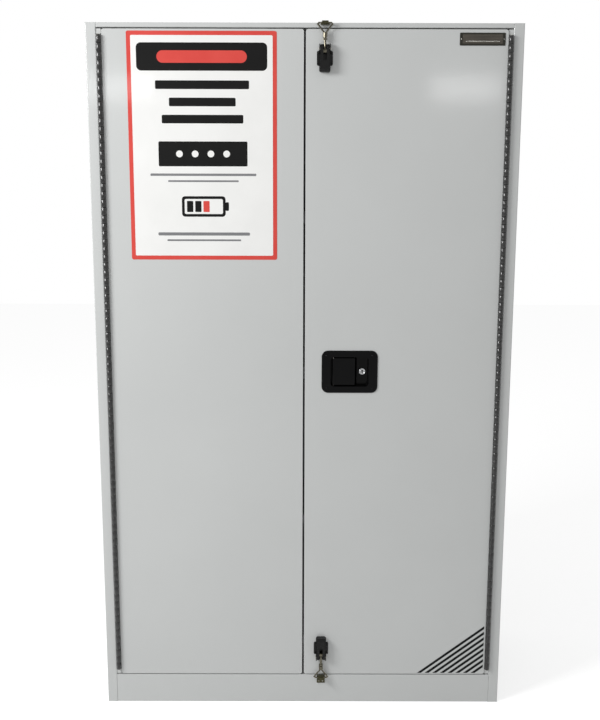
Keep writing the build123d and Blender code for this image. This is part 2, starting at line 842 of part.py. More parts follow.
with BuildPart() as latch_lever:
    with BuildSketch(Plane.YZ):
        with BuildLine():
            head = CenterArc(pivot, lever_head_radius, 0, 180)
            tail_inner = (-base_sheet - lever_floor_gap, -lever_tail + tail_foot)
            tail_outer = (lever_outer_y, -lever_tail + tail_bevel)
            tail_tip = (lever_outer_y + tail_bevel, -lever_tail)
            foot = (-base_sheet - lever_floor_gap, -lever_tail)
            Polyline(head @ 1, tail_outer, tail_tip, foot, tail_inner, head @ 0)
        make_face()
    extrude(amount=lever_half, both=True)
    with BuildSketch(Plane.YZ):
        with BuildLine():
            Polyline(
                (0, -lever_tail + lever_wall),
                (lever_outer_y + tail_bevel + lever_wall / 2, -lever_tail + lever_wall),
                (lever_outer_y + lever_wall, -lever_tail + tail_bevel + lever_wall),
                (lever_outer_y + lever_wall, pivot_from_centre + 2 * lever_head_radius),
                (0, pivot_from_centre + 2 * lever_head_radius),
                (0, -lever_tail + lever_wall),
            )
        make_face()
    extrude(amount=lever_inner, both=True, mode=Mode.SUBTRACT)
    slot_end = pivot_from_centre - slot_below_pivot
    with BuildSketch(Plane.XZ):
        with Locations((0, (slot_end + pivot_from_centre + 2 * lever_head_radius) / 2)):
            Rectangle(lever_slot_width, pivot_from_centre + 2 * lever_head_radius - slot_end)
    extrude(amount=2 * pivot_height, mode=Mode.SUBTRACT)
    with BuildSketch(Plane.YZ):
        with Locations(pivot):
            Circle(pivot_stud_radius + pin_clearance)
        with Locations(draw_pin):
            Circle(draw_pin_radius)
    extrude(amount=base_width, both=True, mode=Mode.SUBTRACT)
    with BuildSketch(Plane.YZ):
        with Locations(draw_pin):
            Circle(draw_pin_radius)
    extrude(amount=lever_half, both=True)

with BuildPart() as latch_studs:
    with BuildSketch(Plane.YZ.offset(lever_inner)):
        with Locations(pivot):
            Circle(pivot_stud_radius)
    extrude(amount=cheek_inner - lever_inner)
    with BuildSketch(Plane.YZ.offset(cheek_inner + cheek_sheet)):
        with Locations(pivot):
            Circle(pivot_stud_radius + stud_head_over)
    extrude(amount=stud_head_height)
    with BuildSketch(Plane.YZ.offset(cheek_inner)):
        with Locations(pivot):
            Circle(pivot_stud_radius)
    extrude(amount=cheek_sheet)
    mirror(about=Plane.YZ)
with BuildPart() as latch_body:
    add(latch_base.part)
    with BuildSketch(Plane.YZ):
        with Locations(pivot):
            Circle(pivot_stud_radius)
    extrude(amount=base_width, both=True, mode=Mode.SUBTRACT)

draw_line = Vector(0, bar[0] - draw_pin[0], bar[1] - draw_pin[1])
draw_plane = Plane(origin=(0, *draw_pin), x_dir=(1, 0, 0), z_dir=draw_line)
draw_length = draw_line.length
ferrule_base = ferrule_start - draw_pin[1]
with BuildPart() as latch_draw:
    with BuildSketch(draw_plane):
        Circle(draw_rod_radius)
    extrude(amount=ferrule_base + ferrule_length / 2)
    with BuildSketch(Plane.YZ):
        with Locations(draw_pin):
            Circle(draw_hub_radius)
    extrude(amount=draw_hub_width / 2, both=True)
    with BuildSketch(draw_plane.offset(ferrule_base)):
        Circle(ferrule_radius)
    extrude(amount=ferrule_length)
    bail_root = ferrule_base + ferrule_length - bail_wire_radius
    wire_plane = Plane(origin=draw_plane.origin, x_dir=(1, 0, 0), z_dir=draw_plane.y_dir)
    up = -1 if wire_plane.y_dir.Z < 0 else 1
    with BuildLine(wire_plane) as bail:
        Polyline(
            (0, up * bail_root),
            (bail_half_width, up * (draw_length - bail_corner)),
            (bail_half_width - bail_corner, up * draw_length),
            (-bail_half_width + bail_corner, up * draw_length),
            (-bail_half_width, up * (draw_length - bail_corner)),
            (0, up * bail_root),
        )
    with BuildSketch(Plane(origin=bail.line @ 0, z_dir=bail.line % 0)):
        RegularPolygon(bail_wire_radius, bail_wire_sides)
    sweep(path=bail.line, transition=Transition.RIGHT)
    with BuildSketch(Plane.YZ):
        with Locations(draw_pin):
            Circle(draw_pin_radius + pin_clearance)
    extrude(amount=draw_hub_width, both=True, mode=Mode.SUBTRACT)

for place, spot in latch_places.items():
    save(latch_body.part.moved(spot), f"latch_base_{place}")
    save(latch_studs.part.moved(spot), f"latch_studs_{place}")
    save(latch_lever.part.moved(spot), f"latch_lever_{place}")
    save(latch_draw.part.moved(spot), f"latch_draw_{place}")

# A keeper's hook curls round the path of the bar, which swings as the draw pin does about the pivot.
bar_swing = (Vector(*draw_pin) - Vector(*pivot)).length
hook_radius = bar_swing + bail_wire_radius + keeper_play + keeper_sheet / 2
hook_centre = (bar[0] - over_centre, bar[1] + throw_radius)
floor_out = hook_centre[1] - hook_radius


def keeper(flange_line):
    """A strip keeper: its narrow hook, then a flange along the points given."""
    with BuildPart() as strip:
        with BuildSketch(Plane.YZ):
            with BuildLine() as curl:
                CenterArc(hook_centre, hook_radius, -90 - keeper_hook_angle, keeper_hook_angle)
            trace(curl.line, line_width=keeper_sheet)
        extrude(amount=keeper_hook_width / 2, both=True)
        with BuildSketch(Plane.YZ):
            with BuildLine() as bend:
                FilletPolyline((hook_centre[0], floor_out), *flange_line, radius=bend_radius)
            trace(bend.line, line_width=keeper_sheet)
        extrude(amount=keeper_width / 2, both=True)
    return strip.part


flange_y = -keeper_sheet / 2
top_line = cabinet_height - (bar_top - bar_from_latch) + keeper_sheet / 2
over_the_top = keeper([(flange_y, floor_out), (flange_y, top_line), (keeper_flange, top_line)])
down_the_sill = keeper([(flange_y, floor_out), (flange_y, floor_out + keeper_flange)])
save(over_the_top.moved(latch_places["top"]), "keeper_top")
save(down_the_sill.moved(latch_places["bottom"]), "keeper_bottom")
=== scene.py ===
"""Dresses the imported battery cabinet: its finishes, markings, screws, studio light and camera."""

import json
import logging
import math
from dataclasses import dataclass, field
from enum import Enum
from typing import Sequence

import bmesh
import bpy
from mathutils import Euler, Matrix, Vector


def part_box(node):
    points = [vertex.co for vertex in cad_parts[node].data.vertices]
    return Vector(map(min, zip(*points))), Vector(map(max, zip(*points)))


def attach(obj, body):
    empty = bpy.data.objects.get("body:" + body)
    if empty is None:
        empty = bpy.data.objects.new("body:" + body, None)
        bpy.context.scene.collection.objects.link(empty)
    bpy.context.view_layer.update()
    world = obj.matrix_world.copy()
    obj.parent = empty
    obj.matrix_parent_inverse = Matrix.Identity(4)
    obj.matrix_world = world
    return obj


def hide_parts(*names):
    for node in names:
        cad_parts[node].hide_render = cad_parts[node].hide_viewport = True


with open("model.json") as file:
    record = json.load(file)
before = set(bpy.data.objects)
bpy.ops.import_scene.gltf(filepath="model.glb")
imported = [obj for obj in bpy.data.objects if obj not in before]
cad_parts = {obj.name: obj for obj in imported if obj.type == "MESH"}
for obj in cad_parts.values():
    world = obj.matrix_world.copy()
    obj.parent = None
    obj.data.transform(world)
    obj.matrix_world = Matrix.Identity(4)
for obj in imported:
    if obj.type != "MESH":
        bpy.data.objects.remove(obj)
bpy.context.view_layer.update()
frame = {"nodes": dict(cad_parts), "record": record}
log = logging.getLogger("battery_cabinet")
logging.basicConfig(level=logging.INFO, format="%(message)s")

MM = 0.001
WELD_REACH = 0.02 * MM
SHARP_ANGLE = math.radians(50)
Point = tuple[float, float]


# ---------------------------------------------------------------- finishes
def linear(hex_colour: str) -> tuple[float, float, float, float]:
    """Turn an sRGB hex colour into linear RGBA.

    Args:
        hex_colour: Six hex digits, such as "C3C4C3".

    Returns:
        Linear red, green, blue and an alpha of 1.
    """
    parts = [int(hex_colour[i : i + 2], 16) / 255 for i in (0, 2, 4)]
    low = [c / 12.92 if c <= 0.04045 else ((c + 0.055) / 1.055) ** 2.4 for c in parts]
    return (*low, 1.0)


def node(
    tree: bpy.types.NodeTree, kind: str, settings: dict | None = None, links: dict | None = None
) -> bpy.types.Node:
    """Add a shader node with its settings and links.

    Args:
        tree: The material's node tree.
        kind: The node's type name.
        settings: Attributes, or input sockets by name, with their values.
        links: Input socket name to the output socket that feeds it.

    Returns:
        The new node.
    """
    made = tree.nodes.new(kind)
    for key, value in (settings or {}).items():
        if hasattr(made, key):
            setattr(made, key, value)
        else:
            made.inputs[key].default_value = value
    for key, source in (links or {}).items():
        tree.links.new(source, made.inputs[key])
    return made


class Surface(Enum):
    """How a finish was made."""

    SPRAYED = "sprayed enamel with orange peel"
    POWDER = "baked powder coat"
    PLATED = "bright plated steel"
    BRUSHED = "brushed sheet metal"
    MOULDED = "moulded plastic or rubber"
    PRESSED = "pressed fibre board"
    PRINTED = "printed vinyl film"


# Where the cloudy variation turns from the first colour to the second.
CLOUD_RAMP = (0.32, 0.68)


@dataclass(frozen=True)
class Finish:
    """One real finish and the settings of its procedural material.

    The two colours are the ends of a soft cloudy variation. Sizes are in millimetres.
    """

    name: str
    surface: Surface
    colour: str
    second_colour: str
    cloud_mm: float
    grain_mm: float
    grain_depth_mm: float
    roughness: float
    roughness_spread: float = 0.04
    metallic: float = 0.0
    specular: float = 0.5
    coat: float = 0.0
    coat_roughness: float = 0.06
    stretch: tuple[float, float, float] = (1.0, 1.0, 1.0)

    def build(self) -> bpy.types.Material:
        """Make the material: cloudy colour, uneven gloss and a fine grain in relief."""
        made = bpy.data.materials.new(self.name)
        made.use_nodes = True
        tree = made.node_tree
        tree.nodes.clear()
        place = node(tree, "ShaderNodeTexCoord").outputs["Object"]
        mapped = node(tree, "ShaderNodeMapping", {"Scale": self.stretch}, {"Vector": place})
        where = mapped.outputs["Vector"]
        cloud = node(
            tree,
            "ShaderNodeTexNoise",
            {"Scale": 1 / (self.cloud_mm * MM), "Detail": 4.0, "Roughness": 0.55},
            {"Vector": where},
        )
        tint = node(tree, "ShaderNodeValToRGB", links={"Fac": cloud.outputs["Fac"]})
        for stop, position, colour in zip(
            tint.color_ramp.elements, CLOUD_RAMP, (self.colour, self.second_colour)
        ):
            stop.position, stop.color = position, linear(colour)
        gloss = node(
            tree,
            "ShaderNodeMapRange",
            {
                "To Min": max(0.02, self.roughness - self.roughness_spread),
                "To Max": min(1.0, self.roughness + self.roughness_spread),
            },
            {"Value": cloud.outputs["Fac"]},
        )
        grain = node(
            tree,
            "ShaderNodeTexNoise",
            {"Scale": 1 / (self.grain_mm * MM), "Detail": 3.0},
            {"Vector": where},
        )
        relief = node(
            tree,
            "ShaderNodeBump",
            {"Strength": 1.0, "Distance": self.grain_depth_mm * MM},
            {"Height": grain.outputs["Fac"]},
        )
        shader = node(
            tree,
            "ShaderNodeBsdfPrincipled",
            {
                "Metallic": self.metallic,
                "Specular IOR Level": self.specular,
                "Coat Weight": self.coat,
                "Coat Roughness": self.coat_roughness,
            },
            {
                "Base Color": tint.outputs["Color"],
                "Roughness": gloss.outputs["Result"],
                "Normal": relief.outputs["Normal"],
            },
        )
        tree.links.new(relief.outputs["Normal"], shader.inputs["Coat Normal"])
        node(tree, "ShaderNodeOutputMaterial", links={"Surface": shader.outputs["BSDF"]})
        return made


# Two-pack grey enamel, sprayed: an even grey with a wet gloss that faintly ripples reflections.
ENAMEL = Finish(
    name="sprayed_grey_enamel",
    surface=Surface.SPRAYED,
    colour="C4C6C5",
    second_colour="C7C9C8",
    cloud_mm=380,
    grain_mm=2.6,
    grain_depth_mm=0.010,
    roughness=0.3,
    roughness_spread=0.03,
    coat=0.55,
    coat_roughness=0.09,
)
# The same enamel on the inner side of the doors and liner, thinner and less glossy.
INNER_ENAMEL = Finish(
    name="sprayed_inner_enamel",
    surface=Surface.SPRAYED,
    colour="CDCFCD",
    second_colour="D2D3D1",
    cloud_mm=300,
    grain_mm=3.0,
    grain_depth_mm=0.012,
    roughness=0.42,
    coat=0.2,
)
# Calcium silicate board: matt, chalky, lightly fibrous.
FIRE_BOARD = Finish(
    name="pressed_silicate_board",
    surface=Surface.PRESSED,
    colour="D9D4C6",
    second_colour="E3DFD3",
    cloud_mm=60,
    grain_mm=1.2,
    grain_depth_mm=0.08,
    roughness=0.92,
)
# Closed-cell door seal: matt black and slightly open in the skin.
SEAL = Finish(
    name="foamed_seal_rubber",
    surface=Surface.MOULDED,
    colour="222221",
    second_colour="2B2B2A",
    cloud_mm=25,
    grain_mm=0.9,
    grain_depth_mm=0.05,
    roughness=0.78,
)
# Galvanised sheet: cool grey with soft spangle.
GALVANISED = Finish(
    name="galvanised_sheet_steel",
    surface=Surface.PLATED,
    colour="B4B8BA",
    second_colour="C6C9CB",
    cloud_mm=14,
    grain_mm=0.8,
    grain_depth_mm=0.006,
    roughness=0.38,
    roughness_spread=0.1,
    metallic=0.85,
)
# Bright zinc plate on turned and drawn steel: sharp, slightly yellow glints.
ZINC = Finish(
    name="bright_zinc_plate",
    surface=Surface.PLATED,
    colour="C9C7BF",
    second_colour="D8D6CF",
    cloud_mm=6,
    grain_mm=0.5,
    grain_depth_mm=0.002,
    roughness=0.2,
    roughness_spread=0.06,
    metallic=1.0,
)
# Black powder coat on latch pressings: near black, fine pebble, worn satin.
BLACK_POWDER = Finish(
    name="black_powder_coat",
    surface=Surface.POWDER,
    colour="060606",
    second_colour="0C0C0B",
    cloud_mm=9,
    grain_mm=0.55,
    grain_depth_mm=0.012,
    roughness=0.3,
    roughness_spread=0.08,
    specular=0.3,
    coat=0.12,
    coat_roughness=0.15,
)
# Olive passivation over zinc: dark green-brown metal with a dull sheen.
OLIVE = Finish(
    name="olive_passivated_steel",
    surface=Surface.PLATED,
    colour="3B3A28",
    second_colour="565239",
    cloud_mm=7,
    grain_mm=0.6,
    grain_depth_mm=0.004,
    roughness=0.36,
    roughness_spread=0.1,
    metallic=0.6,
)
# Black stove enamel on the lock pan: deep and wet.
LOCK_BLACK = Finish(
    name="black_stove_enamel",
    surface=Surface.SPRAYED,
    colour="020203",
    second_colour="040405",
    cloud_mm=30,
    grain_mm=1.8,
    grain_depth_mm=0.004,
    roughness=0.12,
    roughness_spread=0.03,
    specular=0.22,
)
# Polished chrome on the lock cylinder.
CHROME = Finish(
    name="polished_chrome",
    surface=Surface.PLATED,
    colour="D5D6D8",
    second_colour="DEDFE1",
    cloud_mm=8,
    grain_mm=0.6,
    grain_depth_mm=0.001,
    roughness=0.1,
    roughness_spread=0.03,
    metallic=1.0,
)
# Matt moulded plastic on sockets, gland and vent fittings.
PLASTIC = Finish(
    name="moulded_dark_plastic",
    surface=Surface.MOULDED,
    colour="2C2D2F",
    second_colour="333437",
    cloud_mm=18,
    grain_mm=0.6,
    grain_depth_mm=0.012,
    roughness=0.55,
)
# Bare turned brass.
BRASS = Finish(
    name="turned_brass",
    surface=Surface.BRUSHED,
    colour="B48C45",
    second_colour="C79F56",
    cloud_mm=5,
    grain_mm=0.4,
    grain_depth_mm=0.003,
    roughness=0.28,
    metallic=1.0,
)
# Printed vinyl: flat inks under a clear satin film.
WHITE_FILM = Finish(
    name="white_vinyl_film",
    surface=Surface.PRINTED,
    colour="EBEBE9",
    second_colour="EFEFED",
    cloud_mm=90,
    grain_mm=1.6,
    grain_depth_mm=0.004,
    roughness=0.34,
    coat=0.35,
)
RED_INK = Finish(
    name="red_printed_ink",
    surface=Surface.PRINTED,
    colour="D33C33",
    second_colour="D8443A",
    cloud_mm=70,
    grain_mm=1.4,
    grain_depth_mm=0.003,
    roughness=0.36,
    coat=0.35,
)
# Black ink for the panel's print and the corner stripes; the same black also makes the keyway's painted
# shade.
BLACK_INK_AND_KEYWAY_SHADE = Finish(
    name="black_ink_and_keyway_shade",
    surface=Surface.PRINTED,
    colour="070707",
    second_colour="0B0B0B",
    cloud_mm=70,
    grain_mm=1.4,
    grain_depth_mm=0.003,
    roughness=0.4,
    specular=0.25,
)
GREY_INK = Finish(
    name="grey_printed_ink",
    surface=Surface.PRINTED,
    colour="77787A",
    second_colour="7F8082",
    cloud_mm=70,
    grain_mm=1.4,
    grain_depth_mm=0.003,
    roughness=0.4,
    coat=0.3,
)
# Anodised nameplate: dark frame round a brushed grey-brown field.
PLATE_DARK = Finish(
    name="dark_anodised_aluminium",
    surface=Surface.BRUSHED,
    colour="2E2D26",
    second_colour="35342C",
    cloud_mm=12,
    grain_mm=0.7,
    grain_depth_mm=0.003,
    roughness=0.4,
    metallic=0.5,
)
PLATE_BRUSHED = Finish(
    name="brushed_bronze_aluminium",
    surface=Surface.BRUSHED,
    colour="4E4A44",
    second_colour="615C54",
    cloud_mm=4,
    grain_mm=0.5,
    grain_depth_mm=0.006,
    roughness=0.34,
    metallic=0.8,
    stretch=(0.06, 1.0, 1.0),
)

# Hinge steel coloured near black as painted shade for the gap between door and frame; a clear coat gives
# its round barrels a thin bright line under the key light.
HINGE_SHADE_BLACK = Finish(
    name="hinge_steel_painted_shade_black",
    surface=Surface.PLATED,
    colour="141414",
    second_colour="232322",
    cloud_mm=12,
    grain_mm=1.2,
    grain_depth_mm=0.002,
    roughness=0.3,
    roughness_spread=0.06,
    specular=0.4,
    coat=1.0,
    coat_roughness=0.07,
)
# Bronze-tinted passivated wire and rod on the latch draws: dull metal with sharp glints.
DRAW_STEEL = Finish(
    name="bronze_passivated_wire",
    surface=Surface.PLATED,
    colour="5F5B4E",
    second_colour="8E897A",
    cloud_mm=5,
    grain_mm=0.5,
    grain_depth_mm=0.003,
    roughness=0.22,
    roughness_spread=0.08,
    metallic=1.0,
)
# Blackened cap screws.
BLACK_SCREW = Finish(
    name="blackened_screw_steel",
    surface=Surface.PLATED,
    colour="1D1D1D",
    second_colour="2A2A29",
    cloud_mm=4,
    grain_mm=0.4,
    grain_depth_mm=0.003,
    roughness=0.3,
    metallic=0.7,
)

SLOT_FINISHES = {
    "cabinet_paint": ENAMEL,
    "fire_board": FIRE_BOARD,
    "seal_strip": SEAL,
    "shelf_steel": GALVANISED,
    "zinc_steel": ZINC,
    "black_latch_steel": BLACK_POWDER,
    "olive_keeper_steel": OLIVE,
    "black_enamel": LOCK_BLACK,
    "lock_chrome": CHROME,
    "strip_plastic": PLASTIC,
    "stud_brass": BRASS,
}


@dataclass
class Paintshop:
    """Builds each finish once and hands out its material."""

    made: dict[str, bpy.types.Material] = field(default_factory=dict)

    def get(self, finish: Finish) -> bpy.types.Material:
        """The material of a finish."""
        if finish.name not in self.made:
            self.made[finish.name] = finish.build()
        return self.made[finish.name]

    def dress(self, piece: bpy.types.Object, finish: Finish, slot: str, body: str) -> bpy.types.Object:
        """Give a new piece its finish and the body that it rides on.

        Args:
            piece: The new piece, in place.
            finish: What covers it.
            slot: The record's material slot; not used.
            body: The body that it moves with.

        Returns:
            The piece.
        """
        piece.data.materials.clear()
        piece.data.materials.append(self.get(finish))
        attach(piece, body)
        log.info("%s on %s", piece.name, body)
        return piece


# ---------------------------------------------------------------- mesh helpers
def finish_mesh(name: str, bm: bmesh.types.BMesh, smooth: bool = False) -> bpy.types.Object:
    """Turn a bmesh into a linked object.

    Args:
        name: The piece's name.
        bm: The geometry, which is freed.
        smooth: True for smooth shading.

    Returns:
        The new object.
    """
    bmesh.ops.recalc_face_normals(bm, faces=bm.faces)
    mesh = bpy.data.meshes.new(name)
    bm.to_mesh(mesh)
    bm.free()
    if smooth:
        mesh.shade_smooth()
    made = bpy.data.objects.new(name, mesh)
    bpy.context.scene.collection.objects.link(made)
    return made


def rounded(width: float, height: float, radius: float, steps: int = 6) -> list[Point]:
    """Outline of a rectangle with round corners, centred on 0, 0.

    Args:
        width: Full width.
        height: Full height.
        radius: Corner radius.
        steps: Pieces in each corner's arc.

    Returns:
        The outline's points, anticlockwise.
    """
    points = []
    for turn, (sx, sz) in enumerate(((1, 1), (-1, 1), (-1, -1), (1, -1))):
        for step in range(steps + 1):
            angle = math.radians(90 * (turn + step / steps))
            points.append(
                (
                    sx * (width / 2 - radius) + radius * math.cos(angle),
                    sz * (height / 2 - radius) + radius * math.sin(angle),
                )
            )
    return points


def facing_plate(
    name: str, outlines: Sequence[Sequence[Point]], back_y: float, thickness: float, edge: float = 0.0
) -> bpy.types.Object:
    """Thin plates that face the front, joined in one piece.

    Args:
        name: The piece's name.
        outlines: Outlines in X and Z, in metres.
        back_y: Where the plates' backs lie.
        thickness: How far they stand forward.
        edge: Width of a bevel round the front edge.

    Returns:
        The new object.
    """
    bm = bmesh.new()
    for outline in outlines:
        back = [bm.verts.new((x, back_y, z)) for x, z in outline]
        face = bm.faces.new(back)
        grown = bmesh.ops.extrude_face_region(bm, geom=[face])
        moved = [v for v in grown["geom"] if isinstance(v, bmesh.types.BMVert)]
        bmesh.ops.translate(bm, verts=moved, vec=(0, -thickness, 0))
    made = finish_mesh(name, bm)
    if edge:
        bevel = made.modifiers.new("edge", "BEVEL")
        bevel.width, bevel.segments, bevel.limit_method = edge, 2, "ANGLE"
    return made


def shift(outline: Sequence[Point], x: float, z: float) -> list[Point]:
    """The outline moved by x and z."""
    return [(px + x, pz + z) for px, pz in outline]


def turned(
    name: str,
    profile: Sequence[Point],
    spots: Sequence[Vector],
    axis: Vector,
    sides: int = 24,
    hexed: Sequence[int] = (),
    smooth: bool = True,
) -> bpy.types.Object:
    """Turned pieces, such as screws, all alike, joined in one piece.

    Args:
        name: The piece's name.
        profile: Radius and height of each ring, in metres; a radius of 0 is a point.
        spots: Where the pieces' height 0 stands.
        axis: The direction of growing height.
        sides: Faces round each ring.
        hexed: Numbers of the rings that are hexagons instead of circles.
        smooth: True for smooth shading.

    Returns:
        The new object.
    """
    bm = bmesh.new()
    spin = axis.to_track_quat("Z", "Y")
    for spot in spots:
        rings = []
        for number, (radius, height) in enumerate(profile):
            if radius == 0:
                rings.append([bm.verts.new(spot + spin @ Vector((0, 0, height)))])
                continue
            ring = []
            for side in range(sides):
                angle = 2 * math.pi * side / sides
                reach = radius
                if number in hexed:
                    reach = radius * math.cos(math.pi / 6) / math.cos(angle % (math.pi / 3) - math.pi / 6)
                place = Vector((reach * math.cos(angle), reach * math.sin(angle), height))
                ring.append(bm.verts.new(spot + spin @ place))
            rings.append(ring)
        for low, high in zip(rings, rings[1:]):
            for side in range(sides):
                after = (side + 1) % sides
                if len(low) == 1:
                    bm.faces.new((low[0], high[side], high[after]))
                elif len(high) == 1:
                    bm.faces.new((low[side], low[after], high[0]))
                else:
                    bm.faces.new((low[side], low[after], high[after], high[side]))
    return finish_mesh(name, bm, smooth)


def in_mm(profile: Sequence[Point]) -> list[Point]:
    """A profile given in millimetres, in metres."""
    return [(radius * MM, height * MM) for radius, height in profile]


# A low domed screw head with a hexagon socket, as shares of its radius. Rings 5 and 6 are the socket.
PAN_HEAD = ((0, 0), (1, 0), (1, 0.16), (0.86, 0.4), (0.55, 0.52), (0.44, 0.52), (0.4, 0.16), (0, 0.12))
SOCKET_RINGS = (5, 6)
OUTWARD = Vector((0, -1, 0))
UP = Vector((0, 0, 1))


def screws(name: str, radius: float, spots: Sequence[Vector], axis: Vector) -> bpy.types.Object:
    """Socket screw heads, all alike, joined in one piece.

    Args:
        name: The piece's name.
        radius: The heads' radius.
        spots: Where the heads are seated.
        axis: The way that they face.

    Returns:
        The new object.
    """
    profile = [(share * radius, height * radius) for share, height in PAN_HEAD]
    return turned(name, profile, spots, axis, hexed=SOCKET_RINGS)


# ---------------------------------------------------------------- sub-assemblies
@dataclass
class CadPieces:
    """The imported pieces: every node gets its finish, and pressings get softened edges."""

    shop: Paintshop
    soft_edge_mm: float = 0.35
    bend_edge_mm: float = 0.9

    def dress(self) -> None:
        """Set materials by slot, and the looks of single nodes that differ from their slot."""
        own_finish = {"liner_": INNER_ENAMEL, "door_liner_": INNER_ENAMEL, "latch_draw_": DRAW_STEEL}
        for row in frame["record"]["subparts"]:
            name, slot = row["node"], row["material_slot"]
            piece = frame["nodes"][name]
            own = [finish for start, finish in own_finish.items() if name.startswith(start)]
            finish = own[0] if own else SLOT_FINISHES[slot]
            piece.data.materials.clear()
            piece.data.materials.append(self.shop.get(finish))
        log.info("dressed %d packed nodes", len(frame["nodes"]))

    def soften(self) -> None:
        """Round the sharp edges of the latch, lock and door pressings."""
        pressings = ("latch_lever", "latch_base", "paddle", "lock_bowl")
        for name, piece in frame["nodes"].items():
            if name.startswith(pressings):
                self.round_edges(piece, self.soft_edge_mm)
        for name in ("door_skin_left", "door_skin_right"):
            self.round_edges(frame["nodes"][name], self.bend_edge_mm)

    @staticmethod
    def round_edges(piece: bpy.types.Object, width_mm: float) -> None:
        """Weld a node's faces and bevel its sharp edges.

        Args:
            piece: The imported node.
            width_mm: The bevel's width.
        """
        weld = piece.modifiers.new("weld", "WELD")
        weld.merge_threshold = WELD_REACH
        bevel = piece.modifiers.new("edge", "BEVEL")
        bevel.width, bevel.segments, bevel.limit_method = width_mm * MM, 2, "ANGLE"
        bevel.angle_limit = SHARP_ANGLE


@dataclass(frozen=True)
class Block:
    """One printed block of the door panel, in millimetres from the panel's middle line and top edge."""

    width: float
    height: float
    corner: float
    drop: float
    x: float = 0.0
    steps: int = 6

    def outline(self, middle_x: float, top_z: float) -> list[Point]:
        """The block's outline in place.

        Args:
            middle_x: The panel's middle line.
            top_z: The panel's top edge.

        Returns:
            The outline's points.
        """
        shape = rounded(self.width * MM, self.height * MM, self.corner * MM, self.steps)
        return shift(shape, middle_x + self.x * MM, top_z - self.drop * MM)


@dataclass(frozen=True)
class InkLayer:
    """The blocks of one ink, and how many layers lie below them."""

    name: str
    level: int
    finish: Finish
    blocks: tuple[Block, ...]


# Bands, bars, dots and a plain battery: a caution panel's look with no word on it.
INK_LAYERS = (
    InkLayer("panel_dark_blocks", 1, BLACK_INK_AND_KEYWAY_SHADE, (Block(328, 68, 12, 62), Block(226, 62, 3, 300))),
    InkLayer("panel_red_lozenge", 2, RED_INK, (Block(226, 30, 14.9, 62, steps=12),)),
    InkLayer(
        "panel_bars", 1, BLACK_INK_AND_KEYWAY_SHADE, (Block(236, 21, 3, 130), Block(168, 21, 3, 172), Block(206, 21, 3, 214))
    ),
    InkLayer("panel_dots", 2, WHITE_FILM, tuple(Block(17, 17, 8.4, 300, x, 8) for x in (-60, -20, 20, 60))),
    InkLayer(
        "panel_fine_lines",
        1,
        GREY_INK,
        (
            Block(270, 6, 2, 352),
            Block(180, 4.5, 1.5, 368),
            Block(236, 8, 8 / 3, 502),
            Block(190, 4.5, 1.5, 518),
        ),
    ),
    InkLayer("pictogram_shell", 1, BLACK_INK_AND_KEYWAY_SHADE, (Block(112, 52, 8, 432), Block(9, 22, 3, 432, 60))),
    InkLayer("pictogram_hollow", 2, WHITE_FILM, (Block(98, 38, 4, 432),)),
    InkLayer("pictogram_cells", 3, BLACK_INK_AND_KEYWAY_SHADE, (Block(16, 28, 2, 432, -35), Block(16, 28, 2, 432, -14))),
    InkLayer("pictogram_charge", 3, RED_INK, (Block(16, 28, 2, 432, 7),)),
)


@dataclass
class DoorPanel:
    """The bare printed panel on the left door: blocks and bars with no lettering."""

    shop: Paintshop
    width: float = 376 * MM
    height: float = 568 * MM
    corner: float = 5 * MM
    from_hinge_edge: float = 61.5 * MM
    from_top: float = 5 * MM
    border: float = 10.5 * MM
    field_corner: float = 3 * MM
    film: float = 0.35 * MM
    ink: float = 0.1 * MM

    def __post_init__(self) -> None:
        """Find the panel's middle line, top edge and seat from the door's box."""
        low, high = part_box("door_skin_left")
        self.middle_x = low.x + self.from_hinge_edge + self.width / 2
        self.top_z = high.z - self.from_top
        self.face_y = low.y

    def layer(self, name: str, outlines: Sequence[Sequence[Point]], level: int, finish: Finish) -> None:
        """Add one ink layer of the panel.

        Args:
            name: The piece's name.
            outlines: The blocks' outlines, in place.
            level: How many ink layers lie below it.
            finish: Its ink.
        """
        piece = facing_plate(name, outlines, self.face_y - self.film - level * self.ink, self.ink)
        self.shop.dress(piece, finish, "cabinet_paint", "left_door")

    def build(self) -> None:
        """Build the film with its red border, the white field and the blocks."""
        middle_z = self.top_z - self.height / 2
        sheet = shift(rounded(self.width, self.height, self.corner), self.middle_x, middle_z)
        film = facing_plate("panel_film", [sheet], self.face_y, self.film)
        self.shop.dress(film, RED_INK, "cabinet_paint", "left_door")
        inside = rounded(self.width - 2 * self.border, self.height - 2 * self.border, self.field_corner)
        self.layer("panel_field", [shift(inside, self.middle_x, middle_z)], 0, WHITE_FILM)
        for ink in INK_LAYERS:
            outlines = [block.outline(self.middle_x, self.top_z) for block in ink.blocks]
            self.layer(ink.name, outlines, ink.level, ink.finish)


